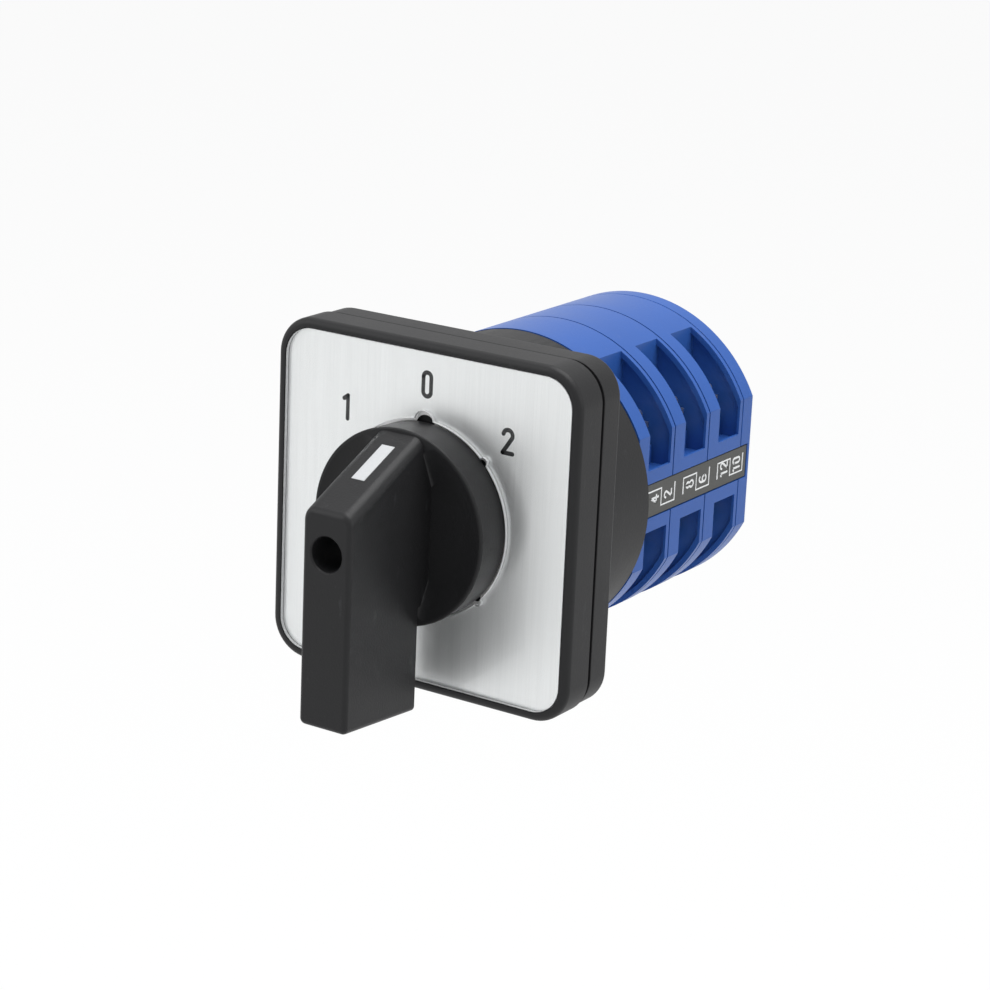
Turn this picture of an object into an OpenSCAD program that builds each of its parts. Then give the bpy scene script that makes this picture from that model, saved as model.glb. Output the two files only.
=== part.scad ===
// Panel-mounted rotary transfer switch with positions 1 - 0 - 2 and three contact stages.
// X runs right and Z runs up as the user sees the dial; Y runs from the user into the cabinet.
// The origin lies on the shaft's axis, in the plane where the front plate meets the rear flange.
// Sizes are in millimetres. Distances "out" are measured from the panel towards the user.

/* [Front plate] */
// Side of the square front plate
plate_w = 64; // [60:0.5:76]
// Distance that the front plate stands out from the panel
plate_out = 7.6; // [6.5:0.1:10]
// Corner radius of the front plate
plate_corner = 7.2; // [4:0.1:8]
// Width of the black border around the dial
border_w = 1.75; // [1.2:0.05:3]
// Thickness of the clear cover over the dial
cover_t = 0.8; // [0.6:0.1:1.4]
// Thickness of the metal dial plate
dial_t = 0.5; // [0.3:0.1:1]
// Width of the ring gap between the handle's skirt and the clear cover
skirt_gap = 0.5; // [0.3:0.05:1]
// Thickness of the front plate's floor and of the flange's front wall
floor_t = 2; // [1.6:0.1:3]
// Distance between the panel screws, along both sides of the square
screw_pitch = 48; // [46:0.5:52]
// Diameter of the four panel screw holes
screw_hole_d = 4.5; // [3.4:0.1:5]

/* [Handle] */
// Radius of the handle's round skirt
skirt_r = 17.5; // [15:0.1:20]
// Distance from the panel to the skirt's front edge
skirt_out = 14.5; // [12:0.1:17]
// Width of the grip bar
bar_w = 10; // [8:0.1:12]
// Distance from the panel to the front face of the grip bar
bar_out = 35.1; // [30:0.1:42]
// Height of the front face's upper edge above the axis
bar_top = 7.5; // [6:0.1:10]
// Length of the grip bar below the axis
bar_drop = 32.5; // [28:0.1:38]
// Width of the white pointer on the bar's slope
pointer_w = 2.8; // [2:0.1:4]
// Length of the white pointer along the slope
pointer_len = 9.8; // [7:0.1:12]

/* [Body] */
// Radius of the round body behind the panel
body_r = 28.5; // [26:0.1:30]
// Half the distance between the body's two side flats
flat_x = 25.6; // [24.5:0.1:27]
// Distance from the front plate's edge to the rear flange's edge
flange_inset = 0.3; // [0:0.1:1]
// Thickness of the rear flange
flange_t = 6.2; // [4.5:0.1:7]
// Length of the black head, flange included
head_len = 23.4; // [22.4:0.1:28]
// Length of one contact stage
stage_len = 12.8; // [12.4:0.1:16]
// Thickness of the back plate
back_t = 3.8; // [3.2:0.1:5]
// Thickness of a stage's front wall
wall_t = 2.2; // [1.6:0.1:2.6]
// Thickness of the body's outer shell
shell_t = 1.8; // [1.4:0.1:2.2]
// Height of the numbered strip on each side flat
strip_h = 6.2; // [5:0.1:7]

/* [Terminal windows] */
// Length of the rib in front of each window
rib_len = 4; // [3:0.1:4.4]
// Length of the lip behind each window
lip_len = 1; // [0.8:0.1:1.4]
// Height above the axis at which a window starts on the side flat
window_z = 6.1; // [5.4:0.1:6.6]
// Distance from the middle at which a window ends on the round top
window_x = 13.9; // [13:0.1:15]

/* [Mechanism] */
// Side of the square shaft
shaft_w = 6; // [5:0.1:6.4]
// Radius of the hubs that turn in the walls
hub_r = 6; // [5.6:0.1:6.4]
// Mean radius of the switching cams
cam_r = 9; // [8.6:0.1:9.4]
// Travel of a plunger for one step of the handle
cam_lift = 2; // [1.5:0.1:2.2]
// Angle between two neighbouring positions
step_angle = 45; // [45:45:45]
// Radius of the detent wheel
star_r = 13; // [11:0.1:14]
// Radius of the detent wheel's notches
notch_r = 2.3; // [2:0.1:2.6]
// Radius of the two stop pins
stop_r = 2; // [1.5:0.1:2.4]

/* [Terminals] */
// Width of the contact strips
contact_w = 5.2; // [4:0.1:5.6]
// Thickness of the contact strips
contact_t = 1; // [0.8:0.1:1.2]
// Distance of the terminal screws from the middle
terminal_x = 18; // [17.6:0.1:18.6]
// Radius of a terminal screw's head
screw_head_r = 3; // [2.4:0.1:3.1]
// Radius of a terminal screw's shank
screw_r = 1.75; // [1.25:0.05:2]

/* [Fits] */
// Radial clearance of a hub in its bore
run_fit = 0.08; // [0.04:0.01:0.1]
// Clearance of parts that slide past each other
slide_gap = 0.2; // [0.15:0.05:0.3]
// Clearance of parts that are only put together
seat_gap = 0.05; // [0.02:0.01:0.1]

/* [Hidden] */
$fn = 64;
eps = 0.01;
stages = 3;
STAGE_PARTS = ["stage_housing_", "cam_", "terminals_", "clamp_washers_", "terminal_screws_"];
CONTACT_PARTS = ["plunger_", "bridge_contact_", "return_spring_"];
SIDES = ["upper", "lower"];

// Colours of the materials
BLACK = "#26282a";
BLUE = "#3f6fc0";
STEEL = "#b9bdc2";
BRASS = "#c9a552";

// Along the axis
back_y = head_len + stages * stage_len;
end_y = back_y + back_t;
function stage_y(i) = head_len + (i - 1) * stage_len;

// Front plate, from the user towards the panel
cover_out = plate_out - 0.1;
dial_out = cover_out - cover_t;
floor_out = dial_out - dial_t;
recess_w = plate_w - 2 * border_w;
recess_corner = plate_corner - border_w;
edge_step = 0.5;
back_wall = 2.5;
cover_hole_r = skirt_r + skirt_gap;
dial_hole_r = skirt_r - 0.4;
big_notch_r = 2;
small_notch_r = 0.8;
skirt_back_out = dial_out + 0.3;

// Handle
skirt_taper = 0.5;
rim_w = 1.4;
pocket_out = skirt_out - 2.9;
bar_heel_out = skirt_out;
bar_slope = atan((skirt_r - skirt_taper - bar_top) / (bar_out - skirt_out));
edge_r = 1.2;
shaft_front_out = 20;
screw_seat_out = 24.4;
handle_screw_r = 1.5;
pointer_t = 0.6;
pointer_out = (bar_out + skirt_out) / 2 - 2.6;
pointer_z = bar_top + (bar_out - pointer_out) * tan(bar_slope);

// Head
head_r = body_r - 0.1;
cup_r = head_r - 3;
cup_floor_y = 3.2;
cup_rim_t = 2;
head_plate_t = 1.8;
head_plate_y = head_len - cup_rim_t;
rod_x = 18;
rod_r = 1.9;
rod_hole_r = rod_r + slide_gap;
rod_head_r = 3.4;
rod_head_t = 2.4;
insert_r = 2.9;
insert_len = 7;
insert_y = cup_floor_y + 1.8;
rod_boss_r = 4;
star_y = 8;
star_t = 5.5;
notch_place_r = star_r + 0.6;
leaf_t = 0.6;
leaf_half = 11;
leaf_nose_r = notch_r - 0.4;
lug_y = 15;
lug_t = 4;
lug_half_angle = 12;
lug_out_r = star_r + 5;
stop_place_r = star_r + 3;
stop_angle = step_angle + lug_half_angle + 2 * asin((stop_r + slide_gap) / 2 / stop_place_r);

// Contact chamber
cam_max_r = cam_r + cam_lift;
cam_room_r = cam_max_r + 0.6;
nose_r = 1.5;
nose_gap = slide_gap;
nose_z = cam_r + nose_gap + nose_r;
plunger_half = 4;
plunger_top = cam_max_r + 9.2;
fixed_z = cam_max_r;
tip_t = 0.6;
tip_r = 1.8;
tip_x = 7.9;
tip_top_z = fixed_z + contact_t + tip_t;
touch_gap = 0.05;
bridge_z = tip_top_z + touch_gap + cam_lift + tip_t;
bridge_half = tip_x + tip_r;
contact_room_x = bridge_half + 0.9;
contact_room_z0 = fixed_z - slide_gap;
contact_room_z1 = bridge_z + contact_t + cam_lift + 0.4;
channel_z = body_r - 2.2;
chamber_x = contact_room_x + 1.6;
mid_y = (wall_t + stage_len) / 2 + 0.4;
cam_y = wall_t + 2.8;
cam_t = stage_len - wall_t - 5.3;

// Terminals
terminal_end_x = terminal_x + 3.5;
terminal_start_x = tip_x - tip_r;
boss_r = screw_r + 1.3;
boss_z = fixed_z - 2.4;
washer_w = 6.4;
washer_t = 1;
screw_head_t = 2.3;
shelf_z = boss_z - 0.1;

// Return springs
spring_r = 2.6;
spring_wire_r = 0.3;
spring_turns = 4;
spring_z0 = plunger_top + spring_wire_r + seat_gap;
spring_z1 = channel_z - spring_wire_r - seat_gap;
spring_boss_r = spring_r - spring_wire_r - slide_gap;

// Number strips
groove_depth = 0.6;
strip_t = 0.5;
strip_y0 = head_len + slide_gap;
strip_y1 = end_y - 1;

// ---- Shared shapes ----

// Extrudes an outline drawn in X and Z along Y, from y0 for len
module at_y(y0, len) translate([0, y0, 0]) rotate([90, 0, 0]) mirror([0, 0, 1])
    linear_extrude(len) children();

// Extrudes an outline drawn in X and Z between two distances out from the panel
module between_out(near, far) at_y(-far, far - near) children();

// Turns a profile of radius and distance out about the shaft's axis
module turned() rotate([90, 0, 0]) rotate_extrude($fn = 96) children();

// Extrudes an outline drawn in Y and Z along X, centred
module across_x(w) translate([-w / 2, 0, 0]) rotate([90, 0, 90]) linear_extrude(w) children();

module both_sides(axis = [1, 0, 0]) {
    children();
    mirror(axis) children();
}

module four_quadrants() both_sides([1, 0, 0]) both_sides([0, 0, 1]) children();

module four_quadrants_2d() for (sx = [0, 1], sz = [0, 1]) mirror([sx, 0]) mirror([0, sz]) children();

module rounded_square(w, r) {
    half = w / 2 - r;
    square([w, w - 2 * r], center = true);
    square([w - 2 * r, w], center = true);
    for (x = [-half, half], z = [-half, half]) translate([x, z]) circle(r = r);
}

module at_screws() for (x = [-1, 1], z = [-1, 1]) translate([x, z] * screw_pitch / 2) children();

module at_rods() for (x = [-rod_x, rod_x]) translate([x, 0]) children();

module cross_recess(r, depth) for (a = [45, 135])
    rotate([0, 0, a]) translate([-r, -0.45, -depth]) cube([2 * r, 0.9, depth + 1]);

// ---- Handle ----

module skirt_profile() polygon([
    [0, skirt_back_out], [skirt_r, skirt_back_out], [skirt_r - skirt_taper, skirt_out - 0.5],
    [skirt_r - skirt_taper - 0.5, skirt_out], [0, skirt_out]
]);

module bar_side() polygon([
    [-bar_out, bar_top], [-bar_out, 1 - bar_drop], [-bar_heel_out, -bar_drop - 0.5],
    [-bar_heel_out, 4 - skirt_r], [-pocket_out, 4 - skirt_r],
    [-pocket_out, skirt_r - skirt_taper - 2], [-skirt_out, skirt_r - skirt_taper]
]);

module bar_front() {
    height = skirt_r + bar_drop + 1;
    translate([-bar_w / 2, -bar_drop - 1 + edge_r]) square([bar_w, height]);
    translate([-bar_w / 2 + edge_r, -bar_drop - 1]) square([bar_w - 2 * edge_r, edge_r + eps]);
    for (x = [-1, 1]) translate([x * (bar_w / 2 - edge_r), -bar_drop - 1 + edge_r]) circle(r = edge_r);
}

module bar_plan() {
    depth = bar_out - pocket_out;
    translate([-bar_w / 2, -bar_out + edge_r]) square([bar_w, depth]);
    translate([-bar_w / 2 + edge_r, -bar_out]) square([bar_w - 2 * edge_r, edge_r + eps]);
    for (x = [-1, 1]) translate([x * (bar_w / 2 - edge_r), -bar_out + edge_r]) circle(r = edge_r);
}

module grip_bar() intersection() {
    across_x(bar_w) bar_side();
    between_out(0, bar_out + 1) bar_front();
    translate([0, 0, -bar_drop - 2]) linear_extrude(bar_drop + skirt_r + 4) bar_plan();
}

module pointer_block(t) translate([0, -pointer_out, pointer_z]) rotate([bar_slope, 0, 0])
    translate([-pointer_w / 2, -pointer_len / 2, -t]) cube([pointer_w, pointer_len, t]);

module handle() color(BLACK) difference() {
    union() {
        difference() {
            turned() skirt_profile();
            between_out(pocket_out, skirt_out + 1) difference() {
                circle(r = skirt_r - skirt_taper - rim_w);
                square([bar_w - 1, 4 * skirt_r], center = true);
            }
        }
        grip_bar();
    }
    // Hollow behind the skirt, around the hub
    between_out(skirt_back_out - 1, pocket_out - 1.8) difference() {
        circle(r = skirt_r - 1.9);
        circle(r = hub_r + 1.5);
    }
    // Socket for the shaft, the screw's hole and its seat
    between_out(0, shaft_front_out + seat_gap) square(shaft_w + 2 * seat_gap, center = true);
    between_out(shaft_front_out - 1, bar_out) circle(r = handle_screw_r + slide_gap);
    between_out(screw_seat_out, bar_out + 1) circle(r = 3.15);
    pointer_block(pointer_t - 0.1);
}

module handle_pointer() color("white") pointer_block(pointer_t - 0.1);

module handle_screw() color(STEEL) difference() {
    union() {
        between_out(12, screw_seat_out + 1) circle(r = handle_screw_r);
        between_out(screw_seat_out, screw_seat_out + 2.2) circle(r = 2.8);
    }
    translate([0, -screw_seat_out - 2.2, 0]) rotate([90, 0, 0]) cross_recess(1.8, 1.2);
}

module square_shaft() color(STEEL) difference() {
    at_y(-shaft_front_out, shaft_front_out + back_y + 0.9) square(shaft_w, center = true);
    between_out(11.5, shaft_front_out + 1) circle(r = handle_screw_r + seat_gap);
}

// ---- Front plate, dial and cover ----

module dial_hole(r) {
    circle(r = r);
    translate([0, r - 0.4]) circle(r = big_notch_r);
    for (a = [45 : 90 : 315]) rotate(a) translate([0, r]) circle(r = small_notch_r);
}

module front_plate() color(BLACK) difference() {
    union() {
        between_out(0, plate_out - 2 * edge_step) rounded_square(plate_w, plate_corner);
        between_out(0, plate_out)
            rounded_square(plate_w - 2 * edge_step, plate_corner - edge_step);
    }
    between_out(floor_out, plate_out + 1) rounded_square(recess_w, recess_corner);
    // Hollow back, with a boss left standing around each panel screw
    between_out(-1, floor_out - floor_t) difference() {
        rounded_square(plate_w - 2 * back_wall, plate_corner - back_wall);
        at_screws() circle(r = screw_hole_d / 2 + 2);
        circle(r = 12);
    }
    between_out(-1, plate_out) circle(r = 10);
    between_out(-1, plate_out) at_screws() circle(r = screw_hole_d / 2 + 0.2);
}

module dial_plate() color("gainsboro") between_out(floor_out, dial_out) difference() {
    rounded_square(recess_w - 2 * seat_gap, recess_corner);
    dial_hole(dial_hole_r);
}

module clear_cover() color([0.9, 0.95, 1, 0.35]) between_out(dial_out, cover_out) difference() {
    rounded_square(recess_w - 2 * seat_gap, recess_corner);
    dial_hole(cover_hole_r);
}

// ---- Head with the detent ----

module spring_holder() at_y(cup_floor_y - eps, star_y + star_t - cup_floor_y) difference() {
    holder_z = notch_place_r - 0.8;
    translate([leaf_half - 2, holder_z]) square([3.4, cup_r - holder_z - 1]);
    translate([leaf_half - 3, notch_place_r - seat_gap])
        square([3 + seat_gap, leaf_t + 2 * seat_gap]);
}

module head_housing() color(BLACK) {
    difference() {
        union() {
            at_y(0, flange_t)
                rounded_square(plate_w - 2 * flange_inset, plate_corner - flange_inset);
            at_y(0, head_len) circle(r = head_r);
        }
        at_y(cup_floor_y, head_len) circle(r = cup_r);
        at_y(head_plate_y, head_len) circle(r = cup_r + 0.6);
        at_y(-1, head_len) circle(r = hub_r + run_fit);
        at_y(-1, flange_t + 2) at_screws() circle(r = screw_hole_d / 2);
        at_y(cup_floor_y - 2, head_len) at_stops() circle(r = stop_r + seat_gap);
    }
    difference() {
        at_y(cup_floor_y - eps, head_plate_y - cup_floor_y) at_rods() circle(r = rod_boss_r);
        at_y(insert_y, insert_len) at_rods() circle(r = insert_r);
        at_y(insert_y, head_len) at_rods() circle(r = rod_hole_r);
    }
    difference() {
        four_quadrants() spring_holder();
        at_y(cup_floor_y - 1, 1 - eps) circle(r = head_r);
    }
}

module at_stops() for (side = [-1, 1])
    rotate(-90 + side * stop_angle) translate([stop_place_r, 0]) children();

module stop_pins() color(STEEL) at_y(cup_floor_y - 2, lug_y + lug_t - cup_floor_y + 2)
    at_stops() circle(r = stop_r);

module detent_wheel() color("dimgray") difference() {
    union() {
        at_y(0.4, head_len - 0.5) circle(r = hub_r);
        at_y(star_y, star_t) difference() {
            circle(r = star_r);
            for (a = [0 : 45 : 315]) rotate(a) translate([notch_place_r, 0]) circle(r = notch_r);
        }
        at_y(lug_y, lug_t) stop_lug();
        at_y(star_y + star_t - eps, lug_y - star_y - star_t + 2 * eps) circle(r = hub_r + 2);
    }
    at_y(-1, head_len + 2) square(shaft_w + 2 * seat_gap, center = true);
}

// Sector below the hub that meets the stop pins at the end positions
module stop_lug() intersection() {
    circle(r = lug_out_r);
    union() {
        circle(r = hub_r + 2);
        polygon([
            [0, 0], lug_out_r * 1.1 * [-sin(lug_half_angle), -cos(lug_half_angle)],
            lug_out_r * 1.1 * [sin(lug_half_angle), -cos(lug_half_angle)]
        ]);
    }
}

module leaf_spring() translate([0, notch_place_r]) {
    difference() {
        circle(r = leaf_nose_r);
        circle(r = leaf_nose_r - leaf_t);
        translate([-5, 0]) square([10, 5]);
    }
    for (side = [0, 1]) mirror([side, 0])
        translate([leaf_nose_r - leaf_t, 0]) square([leaf_half - leaf_nose_r + leaf_t, leaf_t]);
}

module detent_springs() color(STEEL) both_sides([0, 0, 1])
    at_y(star_y + 0.2, star_t - 0.4) leaf_spring();

module head_back_plate() color(BLACK) at_y(head_plate_y, head_plate_t) difference() {
    circle(r = cup_r + 0.6 - seat_gap);
    circle(r = hub_r + run_fit);
    at_rods() circle(r = rod_hole_r);
}

module tie_inserts() color(BRASS) at_y(insert_y, insert_len) at_rods() difference() {
    circle(r = insert_r);
    circle(r = rod_r);
}

module tie_screws() color(STEEL) difference() {
    union() {
        at_y(insert_y, end_y - insert_y - rod_head_t) at_rods() circle(r = rod_r);
        at_y(end_y - rod_head_t - 0.2, rod_head_t) at_rods() circle(r = rod_head_r);
    }
    for (x = [-rod_x, rod_x]) translate([x, end_y - 0.2, 0]) rotate([-90, 0, 0])
        cross_recess(2.2, 1.4);
}

// ---- Stages ----

module body_outline() intersection() {
    circle(r = body_r, $fn = 128);
    square([2 * flat_x, 4 * body_r], center = true);
}

module strip_groove(y0, len) both_sides()
    translate([flat_x - groove_depth, y0, -strip_h / 2 - slide_gap])
        cube([groove_depth + 1, len, strip_h + 2 * slide_gap]);

module contact_room() {
    circle(r = cam_room_r);
    square([2 * (plunger_half + slide_gap), 2 * channel_z], center = true);
    four_quadrants_2d() translate([-1, contact_room_z0])
        square([contact_room_x + 1, contact_room_z1 - contact_room_z0]);
}

module terminal_room() intersection() {
    circle(r = body_r - shell_t, $fn = 128);
    four_quadrants_2d() translate([chamber_x, window_z])
        square([flat_x - shell_t - chamber_x, body_r]);
}

module stage_housing(i) color(BLUE) translate([0, stage_y(i), 0]) {
    difference() {
        at_y(0, stage_len) body_outline();
        at_y(-1, stage_len + 2) circle(r = hub_r + run_fit);
        at_y(wall_t, stage_len) contact_room();
        at_y(wall_t, stage_len) terminal_room();
        // Open windows at the four corners
        at_y(rib_len, stage_len - rib_len - lip_len) four_quadrants_2d()
            translate([window_x, window_z]) square(2 * body_r);
        // Slots that carry the fixed contacts through the inner walls
        four_quadrants() translate([contact_room_x - 1, mid_y - contact_w / 2 - seat_gap, fixed_z - seat_gap])
            cube([chamber_x - contact_room_x + 2, contact_w + 2 * seat_gap, contact_t + 2 * seat_gap]);
        at_y(-1, stage_len + 2) at_rods() circle(r = rod_hole_r);
        strip_groove(-1, stage_len + 2);
    }
    // Shelf under each terminal
    four_quadrants() translate([terminal_x - 3.5, wall_t - eps, window_z - eps])
        cube([7, stage_len - wall_t - lip_len, shelf_z - window_z]);
}

module back_plate() color(BLUE) translate([0, back_y, 0]) difference() {
    at_y(0, back_t) body_outline();
    at_y(-1, 2.4) circle(r = hub_r + run_fit);
    at_y(-1, back_t + 2) at_rods() circle(r = rod_hole_r);
    at_y(back_t - rod_head_t - 0.2, back_t) at_rods() circle(r = rod_head_r + slide_gap);
    strip_groove(-1, strip_y1 - back_y + slide_gap + 1);
}

module number_strip() color(BLACK)
    translate([flat_x - groove_depth, strip_y0, -strip_h / 2])
        cube([strip_t, strip_y1 - strip_y0, strip_h]);

// ---- Cams and moving contacts ----

// Radius of the cam at an angle from +X towards +Z: two straight ramps and two dwells
function cam_radius(a) =
    a < 45 ? cam_r - cam_lift :
    a < 135 ? cam_r + cam_lift * (a - 90) / 45 :
    a < 225 ? cam_r + cam_lift :
    a < 315 ? cam_r - cam_lift * (a - 270) / 45 : cam_r - cam_lift;

module cam(i) color("ivory") translate([0, stage_y(i), 0]) difference() {
    union() {
        at_y(0.05, stage_len - 0.1 + (i == stages ? 1 : 0)) circle(r = hub_r);
        at_y(cam_y, cam_t) polygon([for (a = [0 : 5 : 355]) cam_radius(a) * [cos(a), sin(a)]]);
    }
    at_y(-1, stage_len + 3) square(shaft_w + 2 * seat_gap, center = true);
}

// Places what is drawn for an upper contact at the upper or the lower place of stage i
module at_contact(i, side) translate([0, stage_y(i), 0]) mirror([0, 0, side == "lower" ? 1 : 0])
    children();

module plunger(i, side) color("ivory") at_contact(i, side) difference() {
    union() {
        at_y(wall_t + slide_gap, stage_len - wall_t - 2 * slide_gap) {
            translate([0, nose_z]) circle(r = nose_r);
            translate([-nose_r, nose_z]) square([2 * nose_r, plunger_top - nose_z - 1]);
            translate([-plunger_half, nose_z + 2]) square([2 * plunger_half, plunger_top - nose_z - 2]);
        }
        translate([0, mid_y, plunger_top - eps]) cylinder(r = spring_boss_r, h = 1.2);
    }
    translate([-plunger_half - 1, mid_y - contact_w / 2 - seat_gap, bridge_z])
        cube([2 * plunger_half + 2, contact_w + 2 * seat_gap, contact_t + seat_gap]);
}

module bridge_contact(i, side) color(BRASS) at_contact(i, side) {
    translate([-bridge_half, mid_y - contact_w / 2, bridge_z])
        cube([2 * bridge_half, contact_w, contact_t]);
    both_sides() translate([tip_x, mid_y, bridge_z - tip_t]) cylinder(r = tip_r, h = tip_t + eps);
}

// Points of one ring of spring wire, at turn t of the coil
function spring_ring(t, z) = [
    for (a = [0 : 60 : 300]) [
        (spring_r + spring_wire_r * cos(a)) * cos(360 * t),
        (spring_r + spring_wire_r * cos(a)) * sin(360 * t),
        z + spring_wire_r * sin(a)
    ]
];

module return_spring(i, side) color(STEEL) at_contact(i, side) translate([0, mid_y, 0]) {
    steps = 12 * spring_turns;
    sides = 6;
    rise = spring_z1 - spring_z0;
    points = [for (s = [0 : steps]) each spring_ring(s / 12, spring_z0 + rise * s / steps)];
    walls = [
        for (s = [0 : steps - 1], k = [0 : sides - 1]) [
            s * sides + k, s * sides + (k + 1) % sides,
            (s + 1) * sides + (k + 1) % sides, (s + 1) * sides + k
        ]
    ];
    ends = [[for (k = [sides - 1 : -1 : 0]) k], [for (k = [0 : sides - 1]) steps * sides + k]];
    polyhedron(points = points, faces = concat(walls, ends), convexity = 8);
}

// ---- Fixed terminals ----

module terminals(i) color(BRASS) translate([0, stage_y(i), 0]) four_quadrants() difference() {
    union() {
        translate([terminal_start_x, mid_y - contact_w / 2, fixed_z])
            cube([terminal_end_x - terminal_start_x, contact_w, contact_t]);
        translate([tip_x, mid_y, fixed_z + eps]) cylinder(r = tip_r, h = contact_t + tip_t - eps);
        translate([terminal_x, mid_y, boss_z]) cylinder(r = boss_r, h = fixed_z - boss_z + eps);
    }
    translate([terminal_x, mid_y, boss_z - 1]) cylinder(r = screw_r + seat_gap, h = 6);
}

module clamp_washers(i) color(STEEL) translate([0, stage_y(i), 0]) four_quadrants() difference() {
    translate([terminal_x - washer_w / 2, mid_y - washer_w / 2, fixed_z + contact_t])
        cube([washer_w, washer_w, washer_t]);
    translate([terminal_x, mid_y, fixed_z]) cylinder(r = screw_r + slide_gap, h = 5);
}

module terminal_screws(i) color(STEEL) translate([0, stage_y(i), 0]) four_quadrants() {
    head_z = fixed_z + contact_t + washer_t;
    translate([terminal_x, mid_y, 0]) difference() {
        union() {
            translate([0, 0, boss_z + 0.2]) cylinder(r = screw_r, h = head_z - boss_z);
            translate([0, 0, head_z]) cylinder(r = screw_head_r, h = screw_head_t);
        }
        translate([0, 0, head_z + screw_head_t]) cross_recess(2, 1.3);
    }
}

// ---- Assembly ----

handle();
handle_pointer();
handle_screw();
front_plate();
dial_plate();
clear_cover();
head_housing();
detent_wheel();
detent_springs();
stop_pins();
head_back_plate();
square_shaft();
tie_inserts();
tie_screws();
back_plate();
number_strip();  // number_strip_right
mirror([1, 0, 0]) number_strip();  // number_strip_left
for (i = [1 : stages]) {
    stage_housing(i);
    cam(i);
    terminals(i);
    clamp_washers(i);
    terminal_screws(i);
    for (side = SIDES) {
        plunger(i, side);
        bridge_contact(i, side);
        return_spring(i, side);
    }
}
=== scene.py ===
"""Visual model of a panel-mounted rotary transfer switch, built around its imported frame.

X runs right and Z runs up as the user sees the dial, and Y runs from the user into the cabinet.
The origin is on the shaft's axis in the panel's plane. Everything is in metres.
"""

import math

import bmesh
import bpy
from mathutils import Euler, Matrix, Vector


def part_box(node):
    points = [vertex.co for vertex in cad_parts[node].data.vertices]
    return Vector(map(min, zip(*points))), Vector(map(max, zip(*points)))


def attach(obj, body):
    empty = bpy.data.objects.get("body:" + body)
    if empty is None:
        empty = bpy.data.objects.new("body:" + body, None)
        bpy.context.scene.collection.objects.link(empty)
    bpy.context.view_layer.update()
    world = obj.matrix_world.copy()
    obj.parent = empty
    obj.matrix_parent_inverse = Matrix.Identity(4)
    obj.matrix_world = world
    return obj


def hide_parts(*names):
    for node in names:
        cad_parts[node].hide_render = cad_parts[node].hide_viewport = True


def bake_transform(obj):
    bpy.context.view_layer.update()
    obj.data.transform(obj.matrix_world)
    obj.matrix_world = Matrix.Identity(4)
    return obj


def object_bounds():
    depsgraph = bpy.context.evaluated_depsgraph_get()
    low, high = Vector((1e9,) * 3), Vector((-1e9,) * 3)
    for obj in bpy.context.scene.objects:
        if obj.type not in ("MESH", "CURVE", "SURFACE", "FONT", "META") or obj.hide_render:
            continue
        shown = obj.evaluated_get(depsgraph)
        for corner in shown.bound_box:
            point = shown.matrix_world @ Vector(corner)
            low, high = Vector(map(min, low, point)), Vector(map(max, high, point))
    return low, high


bl_info = {
    "name": "Rotary transfer switch",
    "version": (1, 0, 0),
    "blender": (4, 5, 0),
    "location": "3D View > Sidebar > Switch",
    "description": "Models a rotary transfer switch piece by piece around its packed frame",
    "category": "Add Mesh",
}

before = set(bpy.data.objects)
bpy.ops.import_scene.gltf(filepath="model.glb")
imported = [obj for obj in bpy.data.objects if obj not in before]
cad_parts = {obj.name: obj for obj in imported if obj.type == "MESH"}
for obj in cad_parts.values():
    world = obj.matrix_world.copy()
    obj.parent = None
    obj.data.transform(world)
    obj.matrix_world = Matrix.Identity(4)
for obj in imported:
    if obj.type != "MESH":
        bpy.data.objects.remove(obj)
CAD_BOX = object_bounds()

MM = 0.001
QUARTER = math.pi / 2
STAGES = (1, 2, 3)
SIDES = ("upper", "lower")

# ---- Sizes taken from the frame ----

PLATE_LOW, PLATE_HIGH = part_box("front_plate")
HEAD_LOW, HEAD_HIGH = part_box("head_housing")
HANDLE_LOW, HANDLE_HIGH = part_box("handle")
COVER_LOW, COVER_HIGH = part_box("clear_cover")
DIAL_LOW, DIAL_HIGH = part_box("dial_plate")
STAGE_LOW, STAGE_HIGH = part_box("stage_housing_1")
BACK_LOW, BACK_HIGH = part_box("back_plate")
STRIP_LOW, STRIP_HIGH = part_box("number_strip_right")
POINTER_LOW, POINTER_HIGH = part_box("handle_pointer")

BODY_R = STAGE_HIGH.z
FLAT_X = STAGE_HIGH.x
STAGE_LEN = STAGE_HIGH.y - STAGE_LOW.y
HEAD_R = BODY_R - 0.1 * MM
PLATE_HALF = PLATE_HIGH.x
FLANGE_HALF = HEAD_HIGH.x
SKIRT_R = HANDLE_HIGH.x
BAR_FRONT = HANDLE_LOW.y
WALL = 2.2 * MM
MID = (WALL + STAGE_LEN) / 2 + 0.4 * MM
ROD_X = 18 * MM
HUB_BORE = 6.08 * MM
ROD_WAY = 2.1 * MM
SEAM = 0.34 * MM
FAR = 40 * MM
PAST = 30 * MM
SCREW_HALF_PITCH = 24 * MM
POCKET_DEPTH = 2.9 * MM
PRINT_X = STRIP_HIGH.x + 0.01 * MM
STRIP_LINE = 0.42 * MM
STRIP_FILM = 0.05 * MM


# ---- Settings that a user would change ----

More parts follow.
